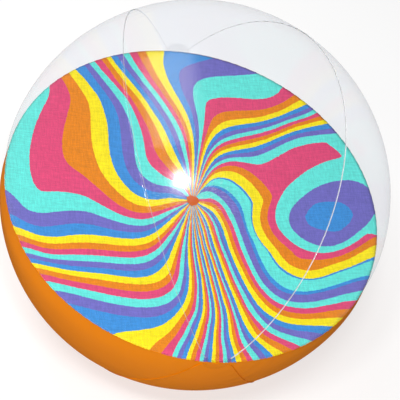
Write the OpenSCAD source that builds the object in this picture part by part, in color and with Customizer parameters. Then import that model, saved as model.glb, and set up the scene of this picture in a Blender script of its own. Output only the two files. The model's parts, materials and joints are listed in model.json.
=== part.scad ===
// Inflatable beach ball: three clear and three orange vinyl panels welded pole to pole,
// with a printed fabric disc across the middle and a push-in valve.
// The poles lie along Y, the disc is level, and the ball rests on its bottom panel.

/* [Ball] */
// Diameter of the inflated ball
ball_d = 580; // [300:5:900]
// Thickness of the vinyl film
film_t = 0.3; // [0.2:0.05:0.6]
// Depth of the welded edge that stands inward along each seam
weld_w = 3; // [2:0.5:6]
// Diameter of the flat patch that the ball's weight presses on the floor
foot_d = 70; // [60:1:120]
// Diameter of the hole that the trimmed panel tips leave at each pole
tip_hole_d = 16; // [8:1:30]
// Diameter of the round patch over each pole
pole_patch_d = 40; // [34:1:80]
// Thickness of the round patch over each pole
pole_patch_t = 0.3; // [0.2:0.05:0.6]

/* [Disc] */
// Thickness of the printed fabric
disc_t = 0.4; // [0.2:0.05:1]
// How far the fabric hangs down in its middle
disc_sag = 14; // [0:1:30]
// Diameter of the vent hole in the fabric
vent_d = 19; // [10:1:40]

/* [Valve place] */
// Angle round the pole axis, from straight up
valve_turn = 120; // [100:1:140]
// Angle from the middle of the panel towards the back pole
valve_lift = 45; // [20:1:60]

/* [Valve] */
// Diameter of the bore that the pump nozzle or the plug goes in
stem_bore_d = 8; // [6:0.5:10]
// Wall of the stem
stem_wall = 2; // [1.2:0.1:3]
// How far the stem comes out
stem_travel = 12; // [6:1:18]
// Overhang of the stem's outer rim and inner collar past its tube
stem_lip = 2; // [1.5:0.1:4]
// Thickness of the stem's rim
stem_rim_t = 2; // [1:0.1:3]
// Length of the stem's inner collar
stem_collar_l = 2.5; // [1.5:0.1:4]
// Running gap between stem and guide, and between plug and stem, on the radius
running_gap = 0.05; // [0.02:0.01:0.1]
// Gap left between the stem's collar and the guide when the stem is right out
stop_gap = 0.3; // [0.1:0.1:1]
// Diameter of the flange that is welded to the skin
flange_d = 46; // [38:1:70]
// Thickness of the flange
flange_t = 0.8; // [0.4:0.1:2]
// Wall of the guide that holds the stem
guide_wall = 3; // [2:0.1:5]
// How far the guide stands above the skin
guide_rise = 1.2; // [1:0.1:3]
// How deep the guide reaches into the ball
guide_depth = 6; // [4:0.5:12]

/* [Plug and flap] */
// Overhang of the plug's head past the stem's bore
plug_lip = 3; // [2:0.1:5]
// Thickness of the plug's head
plug_head_t = 2; // [1:0.1:4]
// Length of the plug's shank in the bore
plug_shank_l = 9; // [5:0.5:11]
// Width of the strap
strap_w = 4; // [3:0.5:6]
// Thickness of the strap
strap_t = 0.8; // [0.5:0.1:1.2]
// How far the strap's loop reaches past the stem's rim
strap_reach = 6; // [4:0.5:10]
// Thickness of the check flap
flap_t = 0.8; // [0.4:0.1:1.5]
// Overlap of the check flap past the bore
flap_lap = 1.6; // [1:0.1:2]

/* [Hidden] */

gore_count = 6;
gore_angle = 360 / gore_count;
ball_r = ball_d / 2;
foot_r = foot_d / 2;
// Height of the ball's centre over the floor
centre_z = sqrt(ball_r * ball_r - foot_r * foot_r);
// Half the thickness of the fabric, which the panels on both sides of it stand off
disc_gap = disc_t / 2;
disc_flat_r = ball_r - weld_w;
disc_rings = 16;
// A block this big covers the whole ball
block = 3 * ball_d;
ball_facets = 180;
small_facets = 64;

stem_r = stem_bore_d / 2 + stem_wall;
stem_lip_r = stem_r + stem_lip;
guide_bore_r = stem_r + running_gap;
guide_r = guide_bore_r + guide_wall;
stem_top = guide_rise + stem_rim_t;
collar_top = -guide_depth - stem_travel - stop_gap;
stem_end = collar_top - stem_collar_l;
plug_head_r = stem_bore_d / 2 + plug_lip;
plug_shank_r = stem_bore_d / 2 - running_gap;
plug_tip_taper = 1;
flap_r = stem_bore_d / 2 + flap_lap;
// The strap's loop runs from the middle of the stem's rim to the middle of the plug's head
strap_low = stem_top - stem_rim_t / 2;
strap_high = stem_top + plug_head_t / 2;
strap_loop_r = (strap_high - strap_low) / 2;
strap_bend_x = stem_lip_r + strap_reach;

orange = [0.86, 0.46, 0.06];
clear_film = [0.9, 0.94, 0.97, 0.25];

module at_centre() {
    translate([0, 0, centre_z]) children();
}

// Places its children with +Z pointing out of the skin, on the skin's outer face
module at_valve() {
    at_centre()
        rotate([-valve_lift, valve_turn, 0])
            translate([0, 0, ball_r]) children();
}

// A ball about the centre with its bottom pressed flat, drawn in by a depth from the skin
module pressed_ball(depth) {
    intersection() {
        sphere(r = ball_r - depth, $fn = ball_facets);
        translate([-block / 2, -block / 2, depth - centre_z]) cube(block);
    }
}

module skin(depth) {
    difference() {
        pressed_ball(0);
        pressed_ball(depth);
    }
}

// A slab along the half plane at an angle round the poles, from one distance to another off it
module slab(angle, from, to) {
    rotate([0, angle, 0])
        translate([from, -block / 2, -block / 2]) cube([to - from, block, block]);
}

// The space between two half planes through the poles, each with its own gap
module wedge(start, start_gap, end, end_gap) {
    intersection() {
        slab(start, start_gap, block);
        slab(end, -block, -end_gap);
    }
}

// One panel: film between two meridians, with a welded edge standing inward along each
module gore(start, start_gap, end, end_gap) {
    at_centre() difference() {
        intersection() {
            wedge(start, start_gap, end, end_gap);
            union() {
                skin(film_t);
                intersection() {
                    skin(weld_w);
                    union() {
                        slab(start, start_gap, start_gap + film_t);
                        slab(end, -end_gap - film_t, -end_gap);
                    }
                }
            }
        }
        rotate([90, 0, 0])
            cylinder(d = tip_hole_d, h = block, center = true, $fn = small_facets);
    }
}

module clear_gore_left() {
    color(clear_film) gore(-90, disc_gap, -90 + gore_angle, 0);
}

module clear_gore_top() {
    color(clear_film) gore(-gore_angle / 2, 0, gore_angle / 2, 0);
}

module clear_gore_right() {
    color(clear_film) gore(90 - gore_angle, 0, 90, disc_gap);
}

module orange_gore_left() {
    color(orange) gore(270 - gore_angle, 0, 270, disc_gap);
}

module orange_gore_bottom() {
    color(orange) gore(180 - gore_angle / 2, 0, 180 + gore_angle / 2, 0);
}

module orange_gore_right() {
    color(orange) difference() {
        gore(90, disc_gap, 90 + gore_angle, 0);
        at_valve() cylinder(r = guide_r, h = 2 * guide_depth, center = true, $fn = small_facets);
    }
}

// A round patch of film lying on the skin at one pole
module pole_patch(side) {
    color(clear_film) at_centre() intersection() {
        difference() {
            sphere(r = ball_r + pole_patch_t, $fn = ball_facets);
            sphere(r = ball_r, $fn = ball_facets);
        }
        rotate([-90 * side, 0, 0]) cylinder(d = pole_patch_d, h = ball_d, $fn = small_facets);
    }
}

module pole_patch_front() {
    pole_patch(-1);
}

module pole_patch_back() {
    pole_patch(1);
}

// Height of the hanging fabric's mid face at a distance from the middle
function disc_z(r) = -disc_sag * (1 - pow(r / disc_flat_r, 2));

// Distance from the middle of each ring of the fabric's profile
function ring_r(i) = vent_d / 2 + (disc_flat_r - vent_d / 2) * i / disc_rings;

module printed_disc() {
    top = [for (i = [0 : disc_rings]) [ring_r(i), disc_z(ring_r(i)) + disc_gap]];
    under = [for (i = [disc_rings : -1 : 0]) [ring_r(i), disc_z(ring_r(i)) - disc_gap]];
    rim = [[ball_r, disc_gap], [ball_r, -disc_gap]];
    color("turquoise") at_centre() intersection() {
        rotate_extrude($fn = ball_facets) polygon(concat(top, rim, under));
        sphere(r = ball_r, $fn = ball_facets);
    }
}

module valve_flange() {
    color(orange) difference() {
        union() {
            intersection() {
                at_centre() difference() {
                    sphere(r = ball_r + flange_t, $fn = ball_facets);
                    sphere(r = ball_r, $fn = ball_facets);
                }
                at_valve() cylinder(d = flange_d, h = flange_d, center = true, $fn = small_facets);
            }
            at_valve() translate([0, 0, -guide_depth])
                cylinder(r = guide_r, h = guide_depth + guide_rise, $fn = small_facets);
        }
        at_valve() cylinder(r = guide_bore_r, h = 4 * guide_depth, center = true, $fn = small_facets);
    }
}

module valve_stem() {
    color("whitesmoke") at_valve() difference() {
        union() {
            translate([0, 0, stem_end]) cylinder(r = stem_r, h = stem_top - stem_end, $fn = small_facets);
            translate([0, 0, guide_rise]) cylinder(r = stem_lip_r, h = stem_rim_t, $fn = small_facets);
            translate([0, 0, stem_end]) cylinder(r = stem_lip_r, h = stem_collar_l, $fn = small_facets);
        }
        cylinder(d = stem_bore_d, h = 4 * (stem_top - stem_end), center = true, $fn = small_facets);
    }
}

module valve_plug() {
    color("whitesmoke") at_valve() translate([0, 0, stem_top]) {
        cylinder(r = plug_head_r, h = plug_head_t, $fn = small_facets);
        translate([0, 0, plug_tip_taper - plug_shank_l])
            cylinder(r = plug_shank_r, h = plug_shank_l - plug_tip_taper, $fn = small_facets);
        translate([0, 0, -plug_shank_l])
            cylinder(r1 = plug_shank_r - plug_tip_taper, r2 = plug_shank_r, h = plug_tip_taper,
                     $fn = small_facets);
    }
}

// A strip from the stem's rim out to a half-round bend and back to the plug's head
module plug_strap() {
    color("whitesmoke") at_valve() difference() {
        union() {
            translate([0, -strap_w / 2, strap_low - strap_t / 2]) cube([strap_bend_x, strap_w, strap_t]);
            translate([0, -strap_w / 2, strap_high - strap_t / 2]) cube([strap_bend_x, strap_w, strap_t]);
            translate([strap_bend_x, 0, (strap_low + strap_high) / 2]) strap_bend();
        }
        translate([0, 0, guide_rise]) cylinder(r = stem_lip_r, h = stem_rim_t, $fn = small_facets);
        translate([0, 0, stem_top]) cylinder(r = plug_head_r, h = plug_head_t, $fn = small_facets);
    }
}

module strap_bend() {
    rotate([90, 0, 0]) intersection() {
        difference() {
            cylinder(r = strap_loop_r + strap_t / 2, h = strap_w, center = true, $fn = small_facets);
            cylinder(r = strap_loop_r - strap_t / 2, h = 2 * strap_w, center = true, $fn = small_facets);
        }
        translate([0, -strap_reach, -strap_w]) cube([2 * strap_reach, 2 * strap_reach, 2 * strap_w]);
    }
}

// The flap covers the stem's inner mouth, and its ear reaches the collar's edge, where it turns
module check_flap() {
    color("whitesmoke") at_valve() translate([0, 0, stem_end - flap_t]) {
        cylinder(r = flap_r, h = flap_t, $fn = small_facets);
        translate([0, -strap_w / 2, 0]) cube([stem_lip_r, strap_w, flap_t]);
    }
}

clear_gore_left();
clear_gore_top();
clear_gore_right();
orange_gore_left();
orange_gore_bottom();
orange_gore_right();
pole_patch_front();
pole_patch_back();
printed_disc();
valve_flange();
valve_stem();
valve_plug();
plug_strap();
check_flap();
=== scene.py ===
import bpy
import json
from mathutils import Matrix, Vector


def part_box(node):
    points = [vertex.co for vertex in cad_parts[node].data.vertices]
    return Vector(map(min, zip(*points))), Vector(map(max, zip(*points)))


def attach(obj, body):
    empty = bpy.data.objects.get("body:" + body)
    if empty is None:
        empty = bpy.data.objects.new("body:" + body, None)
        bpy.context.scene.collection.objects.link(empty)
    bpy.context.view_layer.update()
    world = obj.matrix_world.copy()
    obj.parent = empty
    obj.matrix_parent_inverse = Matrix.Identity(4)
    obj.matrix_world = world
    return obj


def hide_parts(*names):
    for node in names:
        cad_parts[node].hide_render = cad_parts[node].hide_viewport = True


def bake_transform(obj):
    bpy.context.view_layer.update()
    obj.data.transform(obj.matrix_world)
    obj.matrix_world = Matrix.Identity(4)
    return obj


bl_info = {
    "name": "Inflatable Beach Ball",
    "version": (1, 0, 0),
    "blender": (4, 5, 0),
    "location": "View3D > Sidebar > Beach Ball",
    "description": "Builds the skin, welds, printed disc and valve of an inflatable beach ball",
    "category": "Add Mesh",
}

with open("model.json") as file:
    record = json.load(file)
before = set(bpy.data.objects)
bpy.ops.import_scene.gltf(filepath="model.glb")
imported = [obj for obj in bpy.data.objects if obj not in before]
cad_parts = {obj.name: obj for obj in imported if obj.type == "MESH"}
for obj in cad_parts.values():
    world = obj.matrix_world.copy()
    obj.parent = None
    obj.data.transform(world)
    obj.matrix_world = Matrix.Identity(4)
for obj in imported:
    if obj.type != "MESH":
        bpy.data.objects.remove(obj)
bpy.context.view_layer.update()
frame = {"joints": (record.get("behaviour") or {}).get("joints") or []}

import json
import math

import bmesh
import bpy
import numpy as np
from mathutils import Matrix, Vector

LIGHT_DISTANCE = 1.8
# Each light's lean across and above the camera's line, its power's setting, its shape, width and height
# in metres, and whether gloss mirrors it
LIGHTS = {
    "key_light": (-0.123, 0.123, "key_energy", "DISK", 0.2, 0.2, True),
    "top_light": (-0.225, 0.81, "top_energy", "RECTANGLE", 0.8, 2.0, True),
    "shade_light": (0.04, 0.11, "shade_energy", "DISK", 0.26, 0.26, False),
}
# The camera's slide in its frame, as shares of the frame's width
FRAMING_X, FRAMING_Y = 0.0125, -0.013
MM = 0.001

# ---------------------------------------------------------------- places, read from the frame

DISC_LOW, DISC_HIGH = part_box("printed_disc")
BALL_R = DISC_HIGH.x
CENTRE = Vector((0.0, 0.0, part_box("clear_gore_top")[1].z - BALL_R))
DISC_HALF_T = DISC_HIGH.z - CENTRE.z
DISC_SAG = CENTRE.z - DISC_LOW.z - DISC_HALF_T
VENT_R = 0.0095
# The drawn cloth's share of the disc's thickness
CLOTH_SHARE = 0.6
# Inward from the rim: how far the ruffle reaches, over what length it rises, and how late it starts
RUFFLE_REACH, RUFFLE_RISE, RUFFLE_LAG = 0.024, 0.012, 0.6
# Height of the cloth's slow unevenness
CLOTH_WANDER = 0.0006
# Nearer to the pole axis than this, the panels' turned-in edges shrink towards the tips
FULL_EDGE_REACH = 0.05
PATCH_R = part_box("pole_patch_front")[1].x
JOINTS = {joint["name"]: joint for joint in frame["joints"]}
VALVE_AXIS = Vector(JOINTS["stem_slide"]["axis"]).normalized()

CLEAR_PANELS = {
    "clear_gore_left": (-90, -30),
    "clear_gore_top": (-30, 30),
    "clear_gore_right": (30, 90),
}
ORANGE_PANELS = {
    "orange_gore_right": (90, 150),
    "orange_gore_bottom": (150, 210),
    "orange_gore_left": (210, 270),
}
# Seams as angles round the pole axis, from straight up towards +X
CLEAR_SEAMS = (-30, 30)
ORANGE_SEAMS = (150, 210)
DISC_SEAMS = (-90, 90)
# How far, in metres, a seam stands aside of its meridian: the two middle panels are wider than the rest
SEAM_EASE = {-30: -0.012, 30: 0.012, 150: -0.017, 210: 0.017}


def valve_matrix():
    """Turns the valve's own space, +Z out of the skin, into the row frame."""
    out = VALVE_AXIS
    side = Vector((out.z, 0.0, -out.x)).normalized()
    along = out.cross(side)
    place = CENTRE + out * BALL_R
    return Matrix.Translation(place) @ Matrix((side, along, out)).transposed().to_4x4()


VALVE = valve_matrix()

# ---------------------------------------------------------------- the print

# Colours in the order in which they follow each other round the disc
TURQUOISE, PURPLE, BLUE, YELLOW, ORANGE, PINK = range(6)
COLOURS = 6
REPEATS = 14
BANDS = REPEATS * COLOURS
# The last blue stripe has a turquoise core between these shares of its width
CORE_FROM, CORE_TO = 0.25, 0.87
CORE_BAND = (REPEATS - 1) * COLOURS + BLUE
# Radii, as shares of the disc's, at which the chart places each stripe
CHART_RADII = (0.15, 0.2, 0.3, 0.35, 0.4, 0.5, 0.6, 0.7, 0.8, 0.86, 0.91, 0.96)
# Each row is a repeat of the six colours, the colour that starts there, and the
# angle in degrees at which it starts at each of the radii above
STRIPE_CHART = (
    (0, TURQUOISE, 60.5, 60, 55, 50, 42, 32.5, 32.5, 33, 31.5, 30.5, 29.0, -8.5),
    (0, PURPLE, 62, 62, 59, 55, 49, 39.5, 37.5, 36.5, 35, 33, 31.5, 30),
    (0, YELLOW, 65, 65, 63, 60.5, 56, 47, 42.5, 40.5, 38.5, 37, 36, 34.5),
    (0, PINK, 68, 68, 67.5, 65.5, 63, 54.5, 47.5, 43.5, 41.5, 40.5, 39, 38),
    (1, TURQUOISE, 70, 70, 69, 67.5, 65.5, 57.5, 50, 45.5, 43, 41.5, 40, 39.5),
    (1, YELLOW, 72.5, 73, 73, 72.5, 71.5, 68, 59.5, 51.5, 47.5, 46, 45, 44),
    (1, ORANGE, 74.5, 75, 75, 74.5, 74, 71.5, 65.5, 54.5, 50, 48, 47.5, 46.5),
    (1, PINK, 76, 76.5, 76.5, 76, 75.5, 74.5, 73, 61, 53, 51, 49.5, 49),
    (2, TURQUOISE, 78, 78, 78, 77.5, 77.5, 77.5, 78, 78.5, 59, 54.5, 53.5, 53.5),
    (2, PURPLE, 79.5, 79.5, 79.5, 79.5, 79.5, 80.5, 82.5, 84.5, 84, 79.5, 70.5, 64.5),
    (2, BLUE, 80.5, 80.5, 81, 81, 81.5, 83, 85, 88.5, 90, 90, 87, 80),
    (2, YELLOW, 82, 82, 82.5, 83, 83.5, 85.5, 88.5, 92, 94.5, 95, 95.5, 94.5),
    (2, ORANGE, 84.5, 85, 85, 85.5, 86, 88.5, 92, 95.5, 98, 99, 99.5, 100),
    (3, TURQUOISE, 90, 89.5, 90, 90.5, 91, 93.5, 97, 100, 103, 104, 105, 105.5),
    (3, YELLOW, 98, 99, 102, 102.5, 103, 104, 106, 107.5, 109.5, 110.5, 111.5, 112),
    (3, ORANGE, 104, 106, 110, 109.5, 109, 108.5, 109, 110, 112, 112.5, 113, 113.5),
    (3, PINK, 114, 118, 120.5, 120, 117, 113.5, 113, 113, 114.5, 115, 115, 115.5),
    (4, TURQUOISE, 127, 134.5, 134.5, 130.5, 124.5, 118.5, 116, 115, 116, 117, 117.5, 118),
    (4, PURPLE, 148, 155.5, 151.5, 144, 135.5, 125, 120.5, 119, 119, 119.5, 119.5, 120),
    (4, BLUE, 165, 170, 164, 156.5, 148.5, 134.5, 126, 122.5, 122, 122, 122, 122),
    (4, YELLOW, 180, 184, 178.5, 170.5, 163, 147, 134, 128.5, 125.5, 125.5, 125, 125.5),
    (4, ORANGE, 192.5, 195, 191, 184, 176.5, 162.5, 147.5, 135.5, 130.5, 129.5, 129, 128.5),
    (4, PINK, 202.5, 203.5, 201, 196, 189.5, 175.5, 168, 164, 138.5, 135, 133, 132),
    (5, TURQUOISE, 209.5, 209.5, 209, 204.5, 199, 188, 181.5, 181, 182.5, 181, 140.5, 137),
    (5, PURPLE, 216.5, 217, 216, 212.5, 207.5, 197.5, 191.5, 191, 191.5, 191, 189.5, 184),
    (5, BLUE, 221, 221, 220.5, 218.5, 215.5, 206.5, 199.5, 197.5, 197.5, 197, 195, 191.5),
    (5, YELLOW, 225.5, 225.5, 225.5, 224, 221.5, 213, 206.5, 203.5, 202.5, 201, 199, 196),
    (5, ORANGE, 231, 231, 231, 229.5, 228, 220, 212, 207.5, 205.5, 204, 202, 199),
    (6, TURQUOISE, 239, 238.5, 237.5, 237, 236, 230.5, 221, 214.5, 210.5, 209, 206.5, 203.5),
    (6, PURPLE, 242, 242, 241.5, 241, 240, 236, 226.5, 218.5, 213.5, 211, 209, 206),
    (6, YELLOW, 245.5, 246, 246, 246, 246.5, 244.5, 238.5, 226, 219, 215.5, 212.5, 209.5),
    (6, ORANGE, 249, 249.5, 250, 250, 250, 250, 245, 231.5, 222, 218, 215, 211.5),
    (7, TURQUOISE, 253, 253.5, 253.5, 254, 254.5, 255.5, 253.5, 246.5, 231, 225, 220.5, 216.5),
    (7, PURPLE, 254.5, 255, 256.5, 257, 257.5, 258, 257.5, 252.5, 239.5, 231, 225.5, 221),
    (7, BLUE, 256, 256.5, 257.5, 258.5, 259, 260, 259, 256, 250, 240.5, 232.5, 225.5),
    (7, YELLOW, 257, 257.5, 258.5, 259.5, 260, 261.5, 261, 258.5, 254.5, 251, 246.5, 242),
    (7, ORANGE, 258.5, 259, 260.5, 261.5, 262, 263, 263, 261, 257.5, 256, 254, 252),
    (8, TURQUOISE, 262, 262.5, 263.5, 264.5, 265, 266, 265.5, 264.5, 261.5, 260.5, 259, 258),
    (9, TURQUOISE, 267.5, 268.5, 269.5, 270, 270.5, 271, 271, 270.5, 268.5, 267.5, 266.5, 265.5),
    (10, TURQUOISE, 275, 275.5, 275, 275.5, 275.5, 275.5, 275.5, 275, 273.5, 272.5, 272.5, 272),
    (10, YELLOW, 279.5, 279, 277.5, 278, 278, 278, 277.5, 277.5, 276, 275.5, 275.5, 275.5),
    (11, TURQUOISE, 286.5, 284.5, 281, 281, 280.5, 280.5, 280.5, 280, 279.5, 279, 279, 280),
    (11, YELLOW, 292.5, 289.5, 285, 284.5, 284, 283, 283, 282.5, 282.5, 283, 284.5, 286),
    (11, ORANGE, 297, 292.5, 287.5, 286.5, 286, 285, 284.5, 284.5, 284.5, 285, 286.5, 289),
    (12, TURQUOISE, 304, 298.5, 291.5, 290, 289, 287.5, 287, 286.5, 288, 289, 291.5, 294.5),
    (12, PURPLE, 309, 303.5, 294.5, 293, 291.5, 289.5, 289, 289, 290, 292, 294.5, 298.5),
    (12, YELLOW, 319, 310.5, 299.5, 296.5, 294.5, 292.5, 291.5, 291.5, 294, 297.5, 302, 307),
    (12, ORANGE, 329, 318, 304, 300.5, 298, 295.5, 294, 294.5, 297.5, 302, 307, 312),
    (13, TURQUOISE, 351, 332, 313.5, 308, 304.5, 300, 298, 298.5, 304, 309.5, 316, 320.5),
    (13, PURPLE, 374, 345, 319.5, 313, 308.5, 303, 300.5, 301.5, 308, 315, 320.5, 325),
    (13, BLUE, 389, 362, 325, 318, 312.5, 306, 304, 304.5, 312, 318.5, 324, 329),
    (13, BLUE + CORE_FROM, 403, 390, 334.5, 324.5, 317.5, 310, 306.5, 308, 316, 323, 327.5, 331.5),
    (13, BLUE + CORE_TO, 410, 409, 367.5, 343.5, 330, 317.5, 313.5, 316, 326, 331.5, 335, 338),
    (13, YELLOW, 412.5, 411, 388.5, 348.5, 333.5, 319.5, 315, 317.5, 328, 333, 337, 340.5),
    (13, ORANGE, 416, 415.5, 403.5, 390, 346.5, 324.5, 319.5, 321.5, 331.5, 337, 340.5, 344),
    (13, PINK, 418.5, 418.5, 411.5, 406, 390, 331.5, 324.5, 327, 336, 340.5, 345, 347.5),
)
# The closed spot: its nested ovals from the outside in, each the next colour of a new repeat,
# with the centre, the long half and the short half, as shares of the disc's radius
SPOT_TILT = math.radians(42)
SPOT_OVALS = (
    (0.757, 0.0, 0.36, 0.24),
    (0.7525, -0.0525, 0.253, 0.1625),
    (0.72, -0.073, 0.105, 0.08),
)
SPOT_STEEPNESS = 8
# How square the ovals are: 2 is an ellipse
SPOT_SQUARENESS = 2.4
SPOT_REACH = 1.5
# Inside this radius the stripes run straight to the middle, wound on by this share of their last turn
CORE_RADIUS = 0.1
CORE_WIND = 1.2
# One more radius near the rim, where the first stripe folds back at this angle in degrees
LOBE_RADIUS = 0.945
LOBE_ANGLE = 28.0
# Passes that smooth the stripes along the radius, from a radius on, except over steps of this many bands
SOFTEN_PASSES = 6
SOFTEN_FROM = 0.06
SOFTEN_LIMIT = 4


def steady_slopes(knots, rows):
    """Slopes at the knots that never let a curve swing past its own values."""
    steps = np.diff(rows, axis=1) / np.diff(knots)
    before, after = steps[:, :-1], steps[:, 1:]
    together = before * after > 0
    inner = np.where(together, 2 * before * after / np.where(together, before + after, 1.0), 0.0)
    return np.column_stack((steps[:, 0], inner, steps[:, -1]))


def smooth_through(knots, rows, at):
    """Smooth curves through each row's values at the knots, read at the given places."""
    knots, rows, at = np.array(knots, float), np.array(rows, float), np.array(at, float)
    slopes = steady_slopes(knots, rows)
    cell = np.clip(np.searchsorted(knots, at) - 1, 0, len(knots) - 2)
    span = knots[cell + 1] - knots[cell]
    t = (at - knots[cell]) / span
    low, high = rows[:, cell], rows[:, cell + 1]
    low_slope, high_slope = slopes[:, cell] * span, slopes[:, cell + 1] * span
    return (
        (2 * t ** 3 - 3 * t ** 2 + 1) * low
        + (t ** 3 - 2 * t ** 2 + t) * low_slope
        + (3 * t ** 2 - 2 * t ** 3) * high
        + (t ** 3 - t ** 2) * high_slope
    )


def spot_bands(x, y):
    """The band number that the closed spot gives a place: past BANDS inside it, less outside."""
    best = np.full(np.shape(x), -float(BANDS))
    for ring, (centre_x, centre_y, long_half, short_half) in enumerate(SPOT_OVALS):
        along = (x - centre_x) * math.cos(SPOT_TILT) + (y - centre_y) * math.sin(SPOT_TILT)
        across = (y - centre_y) * math.cos(SPOT_TILT) - (x - centre_x) * math.sin(SPOT_TILT)
        reach = np.abs(along / long_half) ** SPOT_SQUARENESS + np.abs(across / short_half) ** SPOT_SQUARENESS
        reach = reach ** (1 / SPOT_SQUARENESS)
        rise = np.minimum(SPOT_STEEPNESS * (1 - reach), 0.9) + ring
        best = np.where(reach < SPOT_REACH, np.maximum(best, rise), best)
    return best + BANDS


def print_bands(angles, radii):
    """The number of colour bands passed on the way round to each angle, at each radius.

    angles are in degrees and rise over one full turn, radii are shares of the disc's radius,
    and the result has one row for each radius."""
    starts = np.array([row[0] * COLOURS + row[1] for row in STRIPE_CHART], float)
    places = np.array([row[2:] for row in STRIPE_CHART], float)
    middle = places[:, 0] + CORE_WIND * (places[:, 0] - places[:, 1])
    middle = np.minimum.accumulate(middle[::-1])[::-1]
    rim = places[:, -1] + 0.4 * (places[:, -1] - places[:, -2])
    lobe = 0.3 * places[:, -2] + 0.7 * places[:, -1]
    lobe[0] = LOBE_ANGLE
    rows = np.column_stack((middle, middle, places[:, :-1], lobe, places[:, -1], rim))
    knots = (0.0, CORE_RADIUS, *CHART_RADII[:-1], LOBE_RADIUS, CHART_RADII[-1], 1.0)
    curves = smooth_through(knots, rows, radii)
    three_bands = np.concatenate([starts + bands for bands in (-BANDS, 0, BANDS)])
    turned = np.radians(angles)
    out = np.empty((len(radii), len(angles)))
    for i, radius in enumerate(radii):
        curve = np.maximum.accumulate(curves[:, i])
        three_turns = np.concatenate([curve + turn for turn in (-360, 0, 360)])
        row = np.interp(angles, three_turns, three_bands)
        spot = spot_bands(radius * np.cos(turned), radius * np.sin(turned))
        lap = np.where(angles < 180, BANDS, 0)
        out[i] = np.maximum(row, spot - lap)
    for _ in range(SOFTEN_PASSES):
        eased = 0.25 * out[:-2] + 0.5 * out[1:-1] + 0.25 * out[2:]
        soft = (radii[1:-1, None] > SOFTEN_FROM) & (np.abs(out[2:] - out[:-2]) < SOFTEN_LIMIT)
        out[1:-1] = np.where(soft, eased, out[1:-1])
    return out


# ---------------------------------------------------------------- materials

class Signal:
    """A number in a material's node tree. Arithmetic on it adds Math nodes."""

    def __init__(self, paint, socket):
        self.paint, self.socket = paint, socket

    def math(self, operation, other=None, swap=False):
        values = {0: self.socket}
        if other is not None:
            other = other.socket if isinstance(other, Signal) else other
            values = {0: other, 1: self.socket} if swap else {0: self.socket, 1: other}
        node = self.paint.node("ShaderNodeMath", {"operation": operation}, values)
        return Signal(self.paint, node.outputs[0])

    def __add__(self, other):
        return self.math("ADD", other)

    __radd__ = __add__

    def __mul__(self, other):
        return self.math("MULTIPLY", other)

    __rmul__ = __mul__

    def __sub__(self, other):
        return self.math("SUBTRACT", other)

    def __rsub__(self, other):
        return self.math("SUBTRACT", other, swap=True)

    def __truediv__(self, other):
        return self.math("DIVIDE", other)

    def __pow__(self, other):
        return self.math("POWER", other)

    def __gt__(self, other):
        return self.math("GREATER_THAN", other)

    def __lt__(self, other):
        return self.math("LESS_THAN", other)

    def fraction(self):
        return self.math("FRACT")

    def sine(self):
        return self.math("SINE")


class Paint:
    """Builds one material's node tree."""

    def __init__(self, name):
        self.material = bpy.data.materials.new(name)
        self.material.use_nodes = True
        self.tree = self.material.node_tree
        self.tree.nodes.clear()

    def node(self, kind, settings=None, sockets=None):
        """Adds a node: its settings first, then a value or a link for each socket."""
        node = self.tree.nodes.new(kind)
        for key, value in (settings or {}).items():
            if key == "stops":
                self.stops(node.color_ramp, value)
            else:
                setattr(node, key, value)
        for key, value in (sockets or {}).items():
            socket = node.inputs[key]
            value = value.socket if isinstance(value, Signal) else value
            if isinstance(value, bpy.types.NodeSocket):
                self.tree.links.new(value, socket)
            else:
                socket.default_value = value
        return node

    @staticmethod
    def stops(color_ramp, stops):
        interpolation, pairs = stops
        color_ramp.interpolation = interpolation
        while len(color_ramp.elements) < len(pairs):
            color_ramp.elements.new(1.0)
        for element, (position, colour) in zip(color_ramp.elements, pairs):
            element.position = position
            element.color = colour

    def value(self, kind, settings=None, sockets=None, output=0):
        return Signal(self, self.node(kind, settings, sockets).outputs[output])

    def object_place(self):
        return self.node("ShaderNodeTexCoord").outputs["Object"]

    def stretched(self, scale):
        sockets = {"Vector": self.object_place(), "Scale": scale}
        return self.node("ShaderNodeMapping", None, sockets).outputs[0]

    def noise(self, scale, detail=2.0, vector=None, roughness=0.5):
        sockets = {"Vector": vector or self.object_place(), "Scale": scale}
        sockets.update({"Detail": detail, "Roughness": roughness})
        return self.value("ShaderNodeTexNoise", None, sockets, "Fac")

    def blend(self, factor, first, second, how="MIX"):
        """One colour mixed into another."""
        settings = {"data_type": "RGBA", "blend_type": how}
        return self.node("ShaderNodeMix", settings, {0: factor, 6: first, 7: second}).outputs[2]

    def bump(self, height, strength, distance):
        sockets = {"Height": height, "Strength": strength, "Distance": distance}
        return self.node("ShaderNodeBump", None, sockets).outputs[0]

    def principled(self, **sockets):
        named = {key.replace("_", " ").title().replace("Ior", "IOR"): value for key, value in sockets.items()}
        return self.node("ShaderNodeBsdfPrincipled", None, named).outputs[0]

    def finish(self, shader):
        self.node("ShaderNodeOutputMaterial", None, {"Surface": shader})
        return self.material


FILM_ROUGHNESS = 0.2
# A faded film starts to clear this far behind the middle, and is done this much further on, in metres
FADE_FROM, FADE_OVER = 0.12, 0.07


def linear(colour):
    """A display colour, 0 to 255, as the linear colour a shader takes."""
    shares = [channel / 255 for channel in colour]
    return (*(s / 12.92 if s <= 0.04045 else ((s + 0.055) / 1.055) ** 2.4 for s in shares), 1.0)


def shaded(colour, share):
    """A linear colour at a share of its brightness."""
    return (*(channel * share for channel in colour[:3]), 1)


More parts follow.
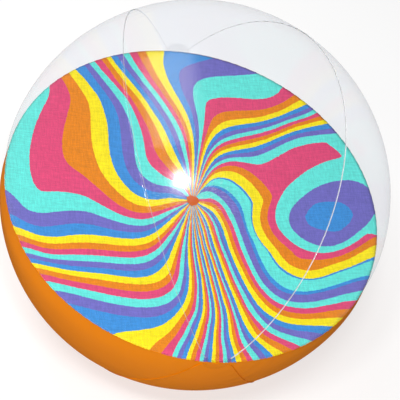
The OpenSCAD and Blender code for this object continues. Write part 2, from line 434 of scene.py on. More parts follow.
def film(name, tint, haze_colour, haze, edge_haze, gloss, edge_gloss, back_fade=0.0):
    """Clear film. What is behind it shows through, and haze and gloss grow towards its edge.

    The gloss is kept to the outer face, which carries 0 in inner_face. back_fade is the share of
    haze and gloss that is gone at the back pole."""
    paint = Paint(name)
    edge = paint.value("ShaderNodeLayerWeight", None, {"Blend": 0.5}, "Facing")
    inner = paint.value("ShaderNodeAttribute", {"attribute_name": "inner_face"}, None, "Fac")
    normal = paint.bump(paint.noise(7.0, 2.0) + 0.15 * paint.noise(60.0, 2.0), 0.3, 0.004)
    clear = paint.node("ShaderNodeBsdfTransparent", None, {"Color": tint}).outputs[0]
    cloudy = paint.node("ShaderNodeBsdfDiffuse", None, {"Color": haze_colour}).outputs[0]
    shine = {"Color": (1, 1, 1, 1), "Roughness": FILM_ROUGHNESS, "Normal": normal}
    glossy = paint.node("ShaderNodeBsdfAnisotropic", None, shine).outputs[0]
    axes = paint.node("ShaderNodeSeparateXYZ", None, {"Vector": paint.object_place()})
    behind = (Signal(paint, axes.outputs[1]) - FADE_FROM) / FADE_OVER
    kept = 1 - back_fade * behind.math("MAXIMUM", 0.0).math("MINIMUM", 1.0)
    haze_share = (haze + edge_haze * edge ** 4 + 0.5 * edge_haze * edge ** 24) * kept
    body = paint.node("ShaderNodeMixShader", None, {0: haze_share, 1: clear, 2: cloudy}).outputs[0]
    gloss_share = (gloss + edge_gloss * edge ** 6) * (1 - inner) * kept
    mixed = paint.node("ShaderNodeMixShader", None, {0: gloss_share, 1: body, 2: glossy})
    return paint.finish(mixed.outputs[0])


def clear_film():
    return film("clear_film", (0.988, 0.991, 0.997, 1), (0.84, 0.87, 0.91, 1), 0.006, 0.06, 0.045, 0.06)


def clear_patch():
    return film("clear_patch", (0.99, 0.99, 0.99, 1), (0.86, 0.89, 0.93, 1), 0.0, 0.005, 0.02, 0.02)


def clear_weld():
    return film("clear_weld", (0.985, 0.987, 0.99, 1), (0.95, 0.96, 0.97, 1), 0.4, 0.0, 0.16, 0.0, 0.93)


def orange_vinyl(name="orange_vinyl", shade=1.0):
    """Opaque coloured film. Its inner face has a darker colour and a painted glow, an emission that stands in
    for the daylight coming through the wall.
    """
    paint = Paint(name)
    base = linear((230, 131, 0))
    deep = linear((223, 122, 0))
    cloud = paint.noise(7.0, 4.0)
    colour = paint.blend(cloud, shaded(base, shade), shaded(deep, shade))
    slow = paint.noise(16.0, 3.0)
    normal = paint.bump(paint.noise(900.0, 2.0) * 0.06 + slow, 0.2, 0.0015)
    roughness = 0.42 + 0.12 * paint.noise(30.0, 3.0)
    inner = paint.value("ShaderNodeAttribute", {"attribute_name": "inner_face"}, None, "Fac")
    # Painted glow: the inner face is given a darker colour and an orange emission in place of the daylight
    # that shines through the wall
    colour = paint.blend(inner, colour, linear((130, 74, 0)))
    glow = paint.blend(inner, (0, 0, 0, 1), linear((214, 98, 0)))
    return paint.finish(paint.principled(
        base_color=colour, roughness=roughness, normal=normal, ior=1.18, specular_ior_level=0.4,
        emission_color=glow, emission_strength=0.85))


def soft_vinyl(name, colour, roughness):
    """The thicker moulded vinyl of the valve, with a fine matt grain and paler worn patches at random."""
    paint = Paint(name)
    base = linear(colour)
    worn = tuple(min(1.0, c * 1.15 + 0.02) for c in base[:3]) + (1,)
    cloud = paint.noise(120.0, 4.0)
    tone = paint.blend(cloud, base, worn)
    normal = paint.bump(paint.noise(2600.0, 2.0), 0.2, 0.0004)
    rough = roughness + 0.12 * paint.noise(300.0, 3.0)
    return paint.finish(paint.principled(base_color=tone, roughness=rough, normal=normal, ior=1.5))


def printed_fabric(settings):
    """Plain-weave cloth printed with the stripes whose band numbers the mesh carries, with a painted highlight
    paled into its creases near the vent.
    """
    paint = Paint("printed_fabric")
    bands = paint.value("ShaderNodeAttribute", {"attribute_name": "print_bands"}, None, "Fac")
    steep = paint.value("ShaderNodeAttribute", {"attribute_name": "print_steepness"}, None, "Fac")
    ragged = paint.noise(330.0, 3.0) - 0.5
    slow = paint.noise(60.0, 2.0) - 0.5
    moved = bands + (ragged * settings.ragged_edge + slow * settings.ragged_edge * 0.25) * steep
    place = (moved / COLOURS).fraction()
    inks = [
        settings.turquoise, settings.purple, settings.blue, settings.yellow, settings.orange, settings.pink,
    ]
    stops = [(i / COLOURS, (*ink, 1.0)) for i, ink in enumerate(inks)]
    ramped = paint.node("ShaderNodeValToRGB", {"stops": ("CONSTANT", stops)}, {"Fac": place}).outputs[0]
    lap = (moved / BANDS).fraction() * BANDS
    core = (lap > CORE_BAND + CORE_FROM) * (lap < CORE_BAND + CORE_TO)
    ink = paint.blend(core, ramped, (*settings.turquoise, 1.0))
    turn = 2 * math.pi / settings.thread_pitch
    axes = paint.node("ShaderNodeSeparateXYZ", None, {"Vector": paint.object_place()})
    east, north = Signal(paint, axes.outputs[0]), Signal(paint, axes.outputs[1])
    weave = (east * turn).sine() * (north * turn).sine()
    long_x = paint.noise(1.0, 2.0, paint.stretched((60, 560, 60)))
    long_y = paint.noise(1.0, 2.0, paint.stretched((560, 60, 60)))
    shade = 0.92 + 0.04 * weave + 0.45 * (long_x + long_y - 1.0)
    threads = paint.node("ShaderNodeCombineColor", None, {0: shade, 1: shade, 2: shade}).outputs[0]
    woven = paint.blend(1.0, ink, threads, "MULTIPLY")
    out = (east * east + north * north) ** 0.5
    spokes = paint.node("ShaderNodeCombineXYZ", None, {0: north.math("ARCTAN2", east), 1: out * 4.0})
    crease = paint.noise(26.0, 4.0, spokes.outputs[0], 0.6)
    near_vent = (1.0 - out / settings.gather_reach).math("MAXIMUM", 0.0)
    # Painted highlight: near the vent the cloth is blended towards near-white along its radial creases, in
    # place of the key light's glint
    pale = (crease - 0.5).math("MAXIMUM", 0.0) * near_vent * settings.painted_crease_highlight
    colour = paint.blend(pale, woven, (0.95, 0.95, 0.92, 1.0))
    normal = paint.bump(weave * 0.3 + 0.8 * long_x + 0.8 * long_y + crease * near_vent * 6.0, 0.4, 0.0004)
    rough = 0.66 + 0.12 * long_x
    return paint.finish(paint.principled(
        base_color=colour, roughness=rough, normal=normal, sheen_weight=0.02, specular_ior_level=0.35))


# ---------------------------------------------------------------- mesh helpers

def add_piece(name, points, faces, material, smooth=True):
    """Makes a mesh object from points in the row frame, in metres."""
    mesh = bpy.data.meshes.new(name)
    mesh.from_pydata([tuple(p) for p in points], [], faces)
    mesh.validate()
    mesh.materials.append(material)
    if smooth:
        mesh.shade_smooth()
    piece = bpy.data.objects.new(name, mesh)
    bpy.context.scene.collection.objects.link(piece)
    return piece


def on_skin(angle, lift, depth=0.0):
    """A point at an angle round the pole axis and a lift towards the back pole, both in radians."""
    reach = BALL_R - depth
    out = np.stack((np.cos(lift) * np.sin(angle), np.sin(lift), np.cos(lift) * np.cos(angle)), axis=-1)
    return out * np.asarray(reach)[..., None] + np.array(CENTRE)


def seam_angle(seam, lift):
    """The angle of a seam at a lift: its meridian, eased a little wider about the middle panels."""
    aside = SEAM_EASE.get(seam, 0.0) / (BALL_R * np.cos(lift))
    return math.radians(seam) + np.clip(aside, -0.7, 0.7)


def ring_faces(rows, columns):
    """Quads of a grid whose columns close on themselves."""
    faces = []
    for i in range(rows - 1):
        for j in range(columns):
            k = (j + 1) % columns
            faces.append((i * columns + j, i * columns + k, (i + 1) * columns + k, (i + 1) * columns + j))
    return faces


def tube_faces(rows, columns):
    """The same grid with its two ends closed."""
    last = (rows - 1) * columns
    ends = [tuple(range(columns)), tuple(range(last, last + columns))[::-1]]
    return ring_faces(rows, columns) + ends


def lathe(name, profile, material, steps=72):
    """A solid turned about the valve's axis from a closed outline of (radius, height) in millimetres."""
    outline = [(max(r, 0.0) * MM, z * MM) for r, z in profile]
    count = len(outline)
    points = []
    for i in range(steps):
        turn = 2 * math.pi * i / steps
        points += [VALVE @ Vector((r * math.cos(turn), r * math.sin(turn), z)) for r, z in outline]
    faces = []
    for i in range(steps):
        for j in range(count):
            k, m = (j + 1) % count, (i + 1) % steps
            faces.append((i * count + j, m * count + j, m * count + k, i * count + k))
    return finish_solid(add_piece(name, points, faces, material))


def finish_solid(piece, merge=1e-6):
    """Merges doubled points, and turns every face outward."""
    work = bmesh.new()
    work.from_mesh(piece.data)
    bmesh.ops.remove_doubles(work, verts=work.verts, dist=merge)
    bmesh.ops.dissolve_degenerate(work, edges=work.edges, dist=merge)
    bmesh.ops.recalc_face_normals(work, faces=work.faces)
    work.to_mesh(piece.data)
    work.free()
    return piece


def rounded(corners, radius, steps=4):
    """An outline with each corner cut back to a quarter-round of up to the given radius."""
    out = []
    for i, here in enumerate(corners):
        before, after = Vector(corners[i - 1]), Vector(corners[(i + 1) % len(corners)])
        here = Vector(here)
        to_before, to_after = before - here, after - here
        r = min(radius, to_before.length * 0.45, to_after.length * 0.45)
        start, end = here + to_before.normalized() * r, here + to_after.normalized() * r
        for s in range(steps + 1):
            t = s / steps
            out.append(tuple((1 - t) ** 2 * start + 2 * t * (1 - t) * here + t * t * end))
    return out


# ---------------------------------------------------------------- skin

def panel(name, start, end, settings, fin, material):
    """One panel of film with its two turned-in edges, as a thin closed shell.

    Across the panel the film runs from the tip of one edge, out to the skin, over to the
    other seam and in again. It dips towards each seam and is puckered along it."""
    gap = {-90: DISC_HALF_T, 90: DISC_HALF_T, 270: DISC_HALF_T}
    rows, columns = settings.panel_rows, settings.panel_columns
    tip = math.asin(settings.tip_radius / BALL_R)
    lifts = np.linspace(tip - math.pi / 2, math.pi / 2 - tip, rows)
    # The columns stand closer together towards the seams
    share = (1 - np.cos(np.linspace(0, math.pi, columns))) / 2
    share = 0.5 * share + 0.5 * np.linspace(0, 1, columns)
    thick = settings.film_thickness

    def sheet(inset):
        """The film's outer face, or at an inset of its thickness its inner face."""
        surface = []
        for lift in lifts:
            reach = BALL_R * math.cos(lift)
            first = seam_angle(start, lift) + (gap.get(start, 0.0) + inset) / reach
            last = seam_angle(end, lift) - (gap.get(end, 0.0) + inset) / reach
            angles = first + (last - first) * share
            near_first = np.exp(-((angles - first) * reach / settings.pucker_reach) ** 2)
            near_last = np.exp(-((last - angles) * reach / settings.pucker_reach) ** 2)
            dips = near_first * seam_dip(start, lift, settings) + near_last * seam_dip(end, lift, settings)
            along = lift * BALL_R
            wave = (
                np.sin(along / settings.pucker_pitch * 2 * math.pi + 3.0 * math.sin(along * 9.0) + start)
                + 0.6 * math.sin(along / settings.pucker_pitch * 3.7 + start)
            )
            fade = min(1.0, (math.pi / 2 - abs(lift) - tip) * 6)
            depth = dips + (near_first + near_last) * settings.pucker_height * wave * fade + inset
            turned_in = fin * min(1.0, reach / FULL_EDGE_REACH)
            depths = np.concatenate(([depth[0] + turned_in], depth, [depth[-1] + turned_in]))
            every = np.concatenate(([angles[0]], angles, [angles[-1]]))
            surface.append(on_skin(every, np.full(len(every), lift), depths))
        return np.array(surface)

    outer, inner = sheet(0.0), sheet(thick)
    loop = np.concatenate((outer, inner[:, ::-1]), axis=1)
    inside = np.arange(loop.shape[1]) >= outer.shape[1]
    loop[..., 2] = np.maximum(loop[..., 2], np.where(inside, thick, 0.0))
    count = loop.shape[1]
    piece = add_piece(name, loop.reshape(-1, 3), tube_faces(rows, count), material)
    marks = piece.data.attributes.new("inner_face", "FLOAT", "POINT")
    marks.data.foreach_set("value", np.tile(inside, rows).astype(np.float32))
    return finish_solid(piece)


def cap_patch(name, side, settings, material):
    """A round patch of film with a softened edge, lying over the panel tips at one pole."""
    spread = PATCH_R / BALL_R
    thick = settings.film_thickness
    edge = 0.8 * MM / BALL_R
    profile = (
        (0.0, thick), (spread * 0.5, thick), (spread - edge, thick), (spread - edge * 0.3, thick * 0.8),
        (spread, thick * 0.3), (spread, 0.0), (spread - edge, 0.0), (spread * 0.5, 0.0), (0.0, 0.0))
    steps, points = 96, []
    for angle, height in profile:
        reach = BALL_R + height
        for i in range(steps):
            turn = 2 * math.pi * i / steps
            across = reach * math.sin(angle)
            points.append(CENTRE + Vector((
                across * math.cos(turn), side * reach * math.cos(angle), across * math.sin(turn))))
    return finish_solid(add_piece(name, points, ring_faces(len(profile), steps), material), 1e-5)


# ---------------------------------------------------------------- welds, by geometry nodes

def weld_tree():
    """A flat weld bead along a seam line, with pressed ribs across it."""
    tree = bpy.data.node_groups.new("weld_bead", "GeometryNodeTree")
    face = tree.interface
    face.new_socket("Geometry", in_out="INPUT", socket_type="NodeSocketGeometry")
    for label, value in (
        ("Bead Width", 0.0022), ("Bead Height", 0.0003), ("Rib Pitch", 0.004),
        ("Rib Length", 0.0018), ("Rib Width", 0.0008), ("Rib Height", 0.0005),
    ):
        socket = face.new_socket(label, in_out="INPUT", socket_type="NodeSocketFloat")
        socket.default_value = value
    face.new_socket("Centre", in_out="INPUT", socket_type="NodeSocketVector")
    face.new_socket("Material", in_out="INPUT", socket_type="NodeSocketMaterial")
    face.new_socket("Geometry", in_out="OUTPUT", socket_type="NodeSocketGeometry")

    def node(kind, sockets=None, **settings):
        made = tree.nodes.new(kind)
        for key, value in settings.items():
            setattr(made, key, value)
        for key, value in (sockets or {}).items():
            if isinstance(value, bpy.types.NodeSocket):
                tree.links.new(value, made.inputs[key])
            else:
                made.inputs[key].default_value = value
        return made

    given = node("NodeGroupInput").outputs
    line = node("GeometryNodeMeshToCurve", {0: given["Geometry"]})
    outward = node(
        "ShaderNodeVectorMath", {0: node("GeometryNodeInputPosition").outputs[0], 1: given["Centre"]},
        operation="SUBTRACT")
    section = node("GeometryNodeCurvePrimitiveCircle", {"Resolution": 10, "Radius": 1.0})
    squash = node("ShaderNodeCombineXYZ", {0: given["Bead Width"], 1: given["Bead Height"], 2: 1.0})
    half = node("ShaderNodeVectorMath", {0: squash.outputs[0], 1: (0.5, 0.5, 1.0)}, operation="MULTIPLY")
    flat = node("GeometryNodeTransform", {"Geometry": section.outputs[0], "Scale": half.outputs[0]})
    upright = node(
        "GeometryNodeSetCurveNormal", {"Curve": line.outputs[0], "Normal": outward.outputs[0]}, mode="FREE")
    bead = node(
        "GeometryNodeCurveToMesh",
        {"Curve": upright.outputs[0], "Profile Curve": flat.outputs[0], "Fill Caps": True})
    spaced = node(
        "GeometryNodeResampleCurve", {"Curve": line.outputs[0], "Length": given["Rib Pitch"]}, mode="LENGTH")
    rib_size = node(
        "ShaderNodeCombineXYZ", {0: given["Rib Width"], 1: given["Rib Length"], 2: given["Rib Height"]})
    rib = node("GeometryNodeMeshCube", {"Size": rib_size.outputs[0]})
    up = node("FunctionNodeAlignRotationToVector", {"Vector": outward.outputs[0]}, axis="Z")
    ahead = node(
        "FunctionNodeAlignRotationToVector",
        {"Rotation": up.outputs[0], "Vector": node("GeometryNodeInputTangent").outputs[0]},
        axis="X", pivot_axis="Z")
    ribs = node(
        "GeometryNodeInstanceOnPoints",
        {"Points": spaced.outputs[0], "Instance": rib.outputs[0], "Rotation": ahead.outputs[0]})
    joined = node("GeometryNodeJoinGeometry")
    tree.links.new(bead.outputs[0], joined.inputs[0])
    tree.links.new(ribs.outputs[0], joined.inputs[0])
    real = node("GeometryNodeRealizeInstances", {0: joined.outputs[0]})
    painted = node("GeometryNodeSetMaterial", {"Geometry": real.outputs[0], "Material": given["Material"]})
    node("NodeGroupOutput", {0: painted.outputs[0]})
    return tree


def grown(name, points, edges, tree, values):
    """Runs a node tree on a line and keeps the result as a plain mesh."""
    mesh = bpy.data.meshes.new(name + "_line")
    mesh.from_pydata([tuple(p) for p in points], edges, [])
    line = bpy.data.objects.new(name + "_line", mesh)
    bpy.context.scene.collection.objects.link(line)
    modifier = line.modifiers.new("grow", "NODES")
    modifier.node_group = tree
    sockets = {item.name: item.identifier for item in tree.interface.items_tree if item.in_out == "INPUT"}
    for label, value in values.items():
        modifier[sockets[label]] = value
    graph = bpy.context.evaluated_depsgraph_get()
    made = bpy.data.meshes.new_from_object(line.evaluated_get(graph), depsgraph=graph)
    bpy.data.objects.remove(line)
    made.name = name
    piece = bpy.data.objects.new(name, made)
    bpy.context.scene.collection.objects.link(piece)
    return piece


def seam_dip(seam, lifts, settings):
    """How far the skin sinks at a seam: most halfway along, and deepest where the disc holds it."""
    deepest = settings.disc_dip if abs(seam) in (90, 270) else settings.seam_dip
    return deepest * np.cos(lifts) ** 2


def seam_lines(seams, settings):
    """Points and edges along each seam from one pole patch to the other."""
    steps = 240
    tip = PATCH_R / BALL_R
    lifts = np.linspace(tip - math.pi / 2, math.pi / 2 - tip, steps)
    points, edges = [], []
    for seam in seams:
        first = len(points)
        angles = seam_angle(seam, lifts) + np.zeros(steps)
        if abs(seam) == 90:
            angles += math.copysign(settings.disc_weld_drop / BALL_R, seam)
        line = on_skin(angles, lifts, seam_dip(seam, lifts, settings))
        line[:, 2] = np.maximum(line[:, 2], settings.film_thickness)
        points += list(line)
        edges += [(first + i, first + i + 1) for i in range(steps - 1)]
    return points, edges


# ---------------------------------------------------------------- properties

def length(name, description, default):
    return bpy.props.FloatProperty(name=name, description=description, default=default, unit="LENGTH")


def number(name, description, default):
    return bpy.props.FloatProperty(name=name, description=description, default=default)


def count(name, description, default):
    return bpy.props.IntProperty(name=name, description=description, default=default)


def turn(name, description, degrees):
    return bpy.props.FloatProperty(
        name=name, description=description, default=math.radians(degrees), subtype="ANGLE")


def ink(name, colour):
    return bpy.props.FloatVectorProperty(
        name=name, description="Printed " + name.lower(), subtype="COLOR", size=3, default=linear(colour)[:3])


class BallSkinSettings(bpy.types.PropertyGroup):
    film_thickness: length("Film Thickness", "Thickness of the vinyl film", 0.0003)
    weld_depth: length("Weld Depth", "How far the welded edges stand inward", 0.003)
    clear_edge: length("Clear Edge", "How far a clear panel turns in at its weld", 0.0006)
    weld_width: length("Weld Width", "Width of the weld bead seen from outside", 0.0022)
    rib_pitch: length("Rib Pitch", "Distance between the ribs pressed across a weld", 0.004)
    plain_pitch: length("Plain Pitch", "Distance between ribs on the clear welds", 0.05)
    tip_radius: length("Tip Radius", "Radius of the gap between the panel tips", 0.003)
    seam_dip: length("Seam Dip", "How far the film dips at a seam", 0.0008)
    disc_dip: length("Disc Dip", "How far the skin is held in by the disc", 0.006)
    disc_weld_drop: length("Disc Weld Drop", "How far the disc's weld lies below it", 0.0015)
    pucker_height: length("Pucker Height", "Height of the puckers along a seam", 0.00022)
    pucker_pitch: length("Pucker Pitch", "Distance between puckers", 0.019)
    pucker_reach: length("Pucker Reach", "How far the puckers run into a panel", 0.022)
    panel_rows: count("Panel Rows", "Mesh rows from pole to pole", 260)
    panel_columns: count("Panel Columns", "Mesh columns across", 40)


class PrintSettings(bpy.types.PropertyGroup):
    turquoise: ink("Turquoise", (98, 227, 215))
    purple: ink("Purple", (111, 105, 188))
    blue: ink("Blue", (57, 141, 212))
    yellow: ink("Yellow", (248, 227, 0))
    orange: ink("Orange", (229, 131, 0))
    pink: ink("Pink", (223, 70, 117))
    ragged_edge: length("Ragged Edge", "How far the ink strays at a stripe's edge", 0.0024)
    gather_reach: length("Gather Reach", "How far the creases run from the vent", 0.085)
    # Strength of the painted highlight along the creases near the vent
    painted_crease_highlight: number("Painted Crease Highlight", "How pale the cloth is along its creases", 2.4)
    rim_jag: length("Rim Jag", "Unevenness of the cut rim", 0.0007)
    thread_pitch: length("Thread Pitch", "Distance between threads", 0.0016)
    rim_ruffle: length("Rim Ruffle", "Height of the small puckers at the rim", 0.0006)
    rings: count("Rings", "Mesh rings from vent to rim", 60)
    sectors: count("Sectors", "Mesh columns round the disc", 720)


class StageSettings(bpy.types.PropertyGroup):
    camera_elevation: turn("Camera Elevation", "Angle of the camera over the floor", 49.7)
    camera_turn: turn("Camera Turn", "Angle of the camera left of the front", 22.2)
    camera_roll: turn("Camera Roll", "How far the camera leans", 20.7)
    camera_distance: length("Camera Distance", "From the ball's centre", 2.233)
    lens: number("Lens", "Focal length in millimetres", 134.5)
    key_energy: number("Key Light", "Power in watts", 12.0)
    top_energy: number("Top Light", "Power in watts", 17.0)
    shade_energy: number("Shade Light", "Power in watts of the light that lays the soft shadow", 18.0)
    sky: number("Fill", "Strength of the plain surroundings", 0.2)
    floor_glow: number("Floor Glow", "Light from below the floor", 0.705)


# ---------------------------------------------------------------- operators

def build_panels(context, panels, turned_in, material):
    skin = context.scene.ball_skin
    for node, (start, end) in panels.items():
        piece = panel(node.replace("gore", "panel"), start, end, skin, turned_in, material)
        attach(piece, "ball")
        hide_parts(node)


class BALL_OT_clear_panels(bpy.types.Operator):
    """Build the three clear film panels of the upper half"""
    bl_idname = "ball.clear_panels"
    bl_label = "Clear Panels"

    def execute(self, context):
        edge = context.scene.ball_skin.clear_edge
        build_panels(context, CLEAR_PANELS, edge, clear_film())
        return {"FINISHED"}


class BALL_OT_orange_panels(bpy.types.Operator):
    """Build the three opaque film panels of the lower half"""
    bl_idname = "ball.orange_panels"
    bl_label = "Orange Panels"

    def execute(self, context):
        depth = context.scene.ball_skin.weld_depth
        build_panels(context, ORANGE_PANELS, depth, orange_vinyl())
        return {"FINISHED"}


class BALL_OT_pole_patches(bpy.types.Operator):
    """Build the round patches over the panel tips"""
    bl_idname = "ball.pole_patches"
    bl_label = "Pole Patches"

    def execute(self, context):
        skin = context.scene.ball_skin
        material = clear_patch()
        for node, side in (("pole_patch_front", -1), ("pole_patch_back", 1)):
            piece = cap_patch(node.replace("pole_patch", "polar_patch"), side, skin, material)
            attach(piece, "ball")
            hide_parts(node)
        return {"FINISHED"}


class BALL_OT_welds(bpy.types.Operator):
    """Run weld beads with pressed ribs along every seam"""
    bl_idname = "ball.welds"
    bl_label = "Welds"

    def execute(self, context):
        skin = context.scene.ball_skin
        tree = weld_tree()
        rows = (
            ("clear_welds", CLEAR_SEAMS, clear_weld(), "clear_vinyl", skin.plain_pitch),
            ("orange_welds", ORANGE_SEAMS, orange_vinyl("orange_weld"), "orange_vinyl", skin.rib_pitch),
            ("disc_welds", DISC_SEAMS, orange_vinyl("disc_weld", 0.9), "orange_vinyl", skin.rib_pitch),
        )
        for name, seams, material, slot, pitch in rows:
            points, edges = seam_lines(seams, skin)
            values = {
                "Bead Width": skin.weld_width, "Rib Pitch": pitch, "Centre": CENTRE, "Material": material}
            piece = grown(name, points, edges, tree, values)
            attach(piece, "ball")
        return {"FINISHED"}


class BALL_OT_printed_disc(bpy.types.Operator):
    """Build the printed fabric disc with its stripes, sag and ruffled rim"""
    bl_idname = "ball.printed_disc"
    bl_label = "Printed Disc"

    def execute(self, context):
        settings = context.scene.ball_print
        rings, sectors = settings.rings, settings.sectors
        skin = context.scene.ball_skin
        vent = VENT_R / BALL_R
        radii = vent + (1 - vent) * np.linspace(0, 1, rings) ** 1.15
        angles = np.linspace(0, 360, sectors + 1)
        turned = np.radians(angles)
        held = BALL_R - seam_dip(90, turned, skin)
        rim = (held + settings.rim_jag) / BALL_R
        spread = vent + (radii[:, None] - vent) * (rim - vent) / (1 - vent)
        chart = print_bands(angles, radii)
        bands = np.array([np.interp(spread[:, i], radii, chart[:, i]) for i in range(sectors + 1)]).T
        across = np.gradient(bands, turned, axis=1) / (radii[:, None] * BALL_R)
        outward = np.gradient(bands, radii * BALL_R, axis=0)
        steepness = np.clip(np.hypot(across, outward), 0, 900)

        turned, spread = turned[:-1], spread[:, :-1]
        flat = held[:-1] - skin.weld_depth - skin.disc_weld_drop
        jag = np.sin(turned * 197) * np.sin(turned * 83 + 1) + 0.6 * np.sin(turned * 311 + 2)
        jag = 0.6 * settings.rim_jag * jag * (radii[:, None] > 1 - 0.5 / rings)
        reach = spread * BALL_R + jag
        sag = -DISC_SAG * np.clip(1 - (reach / flat) ** 2, 0, 1)
        ruffle = settings.rim_ruffle * (
            np.sin(turned * 61 + 2 * np.sin(turned * 5)) + 0.6 * np.sin(turned * 37 + 1.3))
        from_rim = (1 - radii[:, None]) * BALL_R
        near_rim = np.exp(-(from_rim / RUFFLE_REACH) ** 2) * np.clip(from_rim / RUFFLE_RISE - RUFFLE_LAG, 0, 1)
        wander = CLOTH_WANDER * np.sin(turned * 9 + 4) * np.sin(radii[:, None] * 14)
        height = sag + ruffle * near_rim + wander * (1 - radii[:, None])
        vent_wobble = 1 + 0.07 * np.sin(turned * 3 + 1) + 0.05 * np.sin(turned * 7 + 2)
        grow = np.where(np.arange(rings)[:, None] < 3, vent_wobble, 1.0)
        x, y = reach * grow * np.cos(turned), reach * grow * np.sin(turned)
        half = DISC_HALF_T * CLOTH_SHARE
        layers = []
        for offset in (half, -half):
            layers.append(np.stack((x, y, CENTRE.z + height + offset), axis=-1).reshape(-1, 3))
        points = np.concatenate(layers)
        count = rings * sectors
        top = ring_faces(rings, sectors)
        faces = [quad[::-1] for quad in top] + [tuple(v + count for v in quad) for quad in top]
        edge = (rings - 1) * sectors
        for j in range(sectors):
            k = (j + 1) % sectors
            faces.append((edge + j, edge + count + j, edge + count + k, edge + k))
            faces.append((j, k, k + count, j + count))
        piece = add_piece("printed_cloth_disc", points, faces, printed_fabric(settings))
        self.carry(piece.data, bands, steepness, rings, sectors)
        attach(piece, "ball")
        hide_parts("printed_disc")
        return {"FINISHED"}

    @staticmethod
    def carry(mesh, bands, steepness, rings, sectors):
        """Stores band number and steepness on the face corners, so that the last column meets the first."""
        vertex = np.empty(len(mesh.loops), int)
        mesh.loops.foreach_get("vertex_index", vertex)
        grid = vertex % (rings * sectors)
        ring, column = grid // sectors, grid % sectors
        starts = np.empty(len(mesh.polygons), int)
        totals = np.empty(len(mesh.polygons), int)
        mesh.polygons.foreach_get("loop_start", starts)
        mesh.polygons.foreach_get("loop_total", totals)
        of_face = np.repeat(np.arange(len(starts)), totals)
        highest = np.zeros(len(starts), int)
        np.maximum.at(highest, of_face, column)
        column = np.where((column == 0) & (highest[of_face] == sectors - 1), sectors, column)
        for name, values in (("print_bands", bands), ("print_steepness", steepness)):
            attribute = mesh.attributes.new(name, "FLOAT", "CORNER")
            attribute.data.foreach_set("value", values[ring, column].astype(np.float32))


class BALL_OT_valve(bpy.types.Operator):
    """Build the valve: flange, stem, plug with its strap, and check flap"""
    bl_idname = "ball.valve"
    bl_label = "Valve"

    def execute(self, context):
        body = soft_vinyl("valve_vinyl", (236, 238, 234), 0.38)
        self.flange(soft_vinyl("flange_vinyl", (233, 124, 2), 0.4))
        self.stem(body)
        self.plug(body)
        self.strap(body)
        self.flap(body)
        return {"FINISHED"}

    @staticmethod
    def flange(material):
        def skin_z(r):
            return math.sqrt((BALL_R / MM) ** 2 - r * r) - BALL_R / MM

        outer, thick = 23.0, 0.8
        top = []
        for i in range(49):
            r = 9.0 + (outer - 10.0) * i / 48
            rib = 0.18 * max(0.0, math.sin(i * math.pi / 3)) if 6 < i < 45 else 0.0
            top.append((r, skin_z(r) + thick + rib))
        foot = skin_z(outer)
        rim = [(outer - 0.4, foot + thick * 0.85), (outer, foot + thick * 0.4), (outer, foot)]
        under = [(r, skin_z(r) + 0.01) for r in (20.0, 16.0, 12.0, 9.1)]
        neck = [(9.05, -5.7), (8.75, -6.0), (6.35, -6.0), (6.05, -5.7)]
        mouth = [(6.05, 0.9), (6.35, 1.2), (8.6, 1.2), (8.95, 0.95)]
        piece = lathe("valve_flange_ring", top + rim + under + neck + mouth, material)
        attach(piece, "ball")
        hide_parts("valve_flange")

    @staticmethod
    def stem(material):
        corners = [
            (4.0, 3.2), (8.0, 3.2), (8.0, 1.2), (6.0, 1.2), (6.0, -18.3), (8.0, -18.3), (8.0, -20.8),
            (4.0, -20.8)]
        piece = lathe("valve_stem_tube", rounded(corners, 0.45), material)
        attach(piece, "stem")
        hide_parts("valve_stem")

    @staticmethod
    def plug(material):
        corners = [
            (0.0, 5.2), (2.6, 5.2), (3.0, 4.75), (5.2, 4.75), (5.6, 5.2), (7.0, 5.2), (7.0, 3.2), (3.95, 3.2),
            (3.95, -4.8), (2.95, -5.8), (0.0, -5.8)]
        piece = lathe("valve_plug_cap", rounded(corners, 0.4), material)
        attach(piece, "plug")
        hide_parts("valve_plug")

    @staticmethod
    def strap(material):
        """A flat strip that leaves the stem's rim, bends round and comes back to the plug's head."""
        low, high, bend_x, half_w, half_t = 2.2, 4.2, 14.0, 2.0, 0.4
        route = [(7.4 + (bend_x - 7.4) * i / 10, low) for i in range(11)]
        for i in range(1, 16):
            turn = math.pi * i / 16 - math.pi / 2
            route.append((bend_x + math.cos(turn), (low + high) / 2 + math.sin(turn)))
        route += [(bend_x + (6.4 - bend_x) * i / 10, high) for i in range(11)]
        section = ((-1, -0.7), (-0.9, -1), (0.9, -1), (1, -0.7), (1, 0.7), (0.9, 1), (-0.9, 1), (-1, 0.7))
        points = []
        for i, (x, z) in enumerate(route):
            ahead = Vector(route[min(i + 1, len(route) - 1)]) - Vector(route[max(i - 1, 0)])
            ahead.normalize()
            side = Vector((-ahead.y, ahead.x))
            for across, up in section:
                spot = Vector((x, z)) + side * (up * half_t)
                points.append(VALVE @ Vector((spot.x * MM, across * half_w * MM, spot.y * MM)))
        faces = tube_faces(len(route), len(section))
        piece = finish_solid(add_piece("plug_strap_loop", points, faces, material))
        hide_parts("plug_strap")
        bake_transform(piece)

    @staticmethod
    def flap(material):
        top, thick, reach, half_w = -20.8, 0.8, 5.6, 2.0
        outline, steps = [], 72
        for i in range(steps):
            turn = 2 * math.pi * i / steps
            x, y = reach * math.cos(turn), reach * math.sin(turn)
            if abs(y) <= half_w and x > 0:
                x = 8.0
            outline.append((x, y))
        points = []
        for inset, z in ((0.3, top), (0.0, top - 0.2), (0.0, top - thick + 0.2), (0.3, top - thick)):
            for x, y in outline:
                shrink = 1 - inset / math.hypot(x, y)
                points.append(VALVE @ Vector((x * shrink * MM, y * shrink * MM, z * MM)))
        leaf = add_piece("check_flap_leaf", points, tube_faces(4, steps), material, smooth=False)
        piece = finish_solid(leaf)
        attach(piece, "flap")
        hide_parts("check_flap")


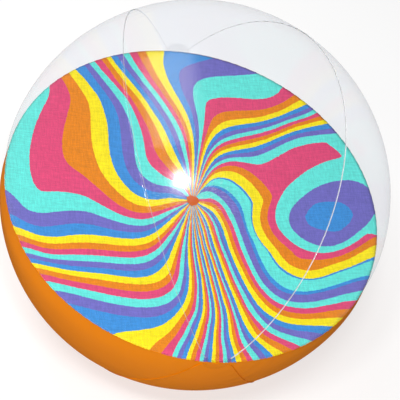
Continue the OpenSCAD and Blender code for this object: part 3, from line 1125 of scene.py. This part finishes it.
class BALL_OT_stage(bpy.types.Operator):
    """Set the floor, the camera, the lights and the plain surroundings"""
    bl_idname = "ball.stage"
    bl_label = "Stage"

    def execute(self, context):
        stage = context.scene.ball_stage
        right, up, back = self.camera_axes(stage)
        self.floor(stage)
        self.camera(context.scene, stage, right, up, back)
        for name, (across, above, power, *form) in LIGHTS.items():
            towards = right * across + up * above + back * math.sqrt(1 - across ** 2 - above ** 2)
            self.light(name, towards, right, getattr(stage, power), *form)
        world = bpy.data.worlds.new("surroundings")
        world.use_nodes = True
        background = world.node_tree.nodes["Background"]
        background.inputs["Color"].default_value = (1, 1, 1, 1)
        background.inputs["Strength"].default_value = stage.sky
        world.cycles_visibility.glossy = False
        context.scene.world = world
        context.scene.view_settings.view_transform = "Standard"
        return {"FINISHED"}

    @staticmethod
    def camera_axes(stage):
        """The camera's right, up and backward directions."""
        flat = math.cos(stage.camera_elevation)
        back = Vector((
            -flat * math.sin(stage.camera_turn), -flat * math.cos(stage.camera_turn),
            math.sin(stage.camera_elevation)))
        level = Vector((0, 0, 1)).cross(back).normalized()
        upright = back.cross(level)
        right = level * math.cos(stage.camera_roll) + upright * math.sin(stage.camera_roll)
        return right, back.cross(right), back

    @staticmethod
    def floor(stage):
        """A pale floor that is lit a little from below, as a light table is, so its shadows stay soft."""
        paint = Paint("floor_paint")
        tone = paint.blend(paint.noise(3.0), (0.31, 0.31, 0.31, 1), (0.33, 0.33, 0.33, 1))
        material = paint.finish(paint.principled(
            base_color=tone, roughness=0.8, specular_ior_level=0.0,
            emission_color=(1, 1, 1, 1), emission_strength=stage.floor_glow))
        side = 8.0
        corners = [(-side, -side, 0), (side, -side, 0), (side, side, 0), (-side, side, 0)]
        plane = add_piece("floor", corners, [(0, 1, 2, 3)], material, smooth=False)
        plane.visible_glossy = False

    @staticmethod
    def camera(scene, stage, right, up, back):
        data = bpy.data.cameras.new("camera")
        data.lens = stage.lens
        data.sensor_width = 36.0
        data.shift_x, data.shift_y = FRAMING_X, FRAMING_Y
        data.clip_end = 50.0
        camera = bpy.data.objects.new("camera", data)
        place = CENTRE + back * stage.camera_distance
        camera.matrix_world = Matrix.Translation(place) @ Matrix((right, up, back)).transposed().to_4x4()
        scene.collection.objects.link(camera)
        scene.camera = camera

    @staticmethod
    def light(name, towards, right, energy, shape, width, height, mirrored):
        """An area light that faces the ball, with its width along the camera's."""
        data = bpy.data.lights.new(name, "AREA")
        data.energy, data.shape, data.size, data.size_y = energy, shape, width, height
        lamp = bpy.data.objects.new(name, data)
        upward = towards.cross(right).normalized()
        across = upward.cross(towards)
        turn = Matrix((across, upward, towards)).transposed().to_4x4()
        lamp.matrix_world = Matrix.Translation(CENTRE + towards * LIGHT_DISTANCE) @ turn
        lamp.visible_glossy = mirrored
        bpy.context.scene.collection.objects.link(lamp)


class BALL_PT_panel(bpy.types.Panel):
    """Lists the steps that build the ball"""
    bl_idname = "BALL_PT_panel"
    bl_label = "Beach Ball"
    bl_space_type = "VIEW_3D"
    bl_region_type = "UI"
    bl_category = "Beach Ball"

    def draw(self, context):
        for operator in OPERATORS:
            self.layout.operator(operator.bl_idname)


OPERATORS = (
    BALL_OT_stage,
    BALL_OT_clear_panels,
    BALL_OT_orange_panels,
    BALL_OT_pole_patches,
    BALL_OT_welds,
    BALL_OT_printed_disc,
    BALL_OT_valve,
)
SETTINGS = {"ball_skin": BallSkinSettings, "ball_print": PrintSettings, "ball_stage": StageSettings}


def register():
    for kind in (*SETTINGS.values(), *OPERATORS, BALL_PT_panel):
        bpy.utils.register_class(kind)
    for name, kind in SETTINGS.items():
        setattr(bpy.types.Scene, name, bpy.props.PointerProperty(type=kind))


def unregister():
    for name in SETTINGS:
        delattr(bpy.types.Scene, name)
    for kind in reversed((*SETTINGS.values(), *OPERATORS, BALL_PT_panel)):
        bpy.utils.unregister_class(kind)


def main():
    register()
    for operator in OPERATORS:
        group, name = operator.bl_idname.split(".")
        getattr(getattr(bpy.ops, group), name)()


if __name__ == "__main__":
    main()
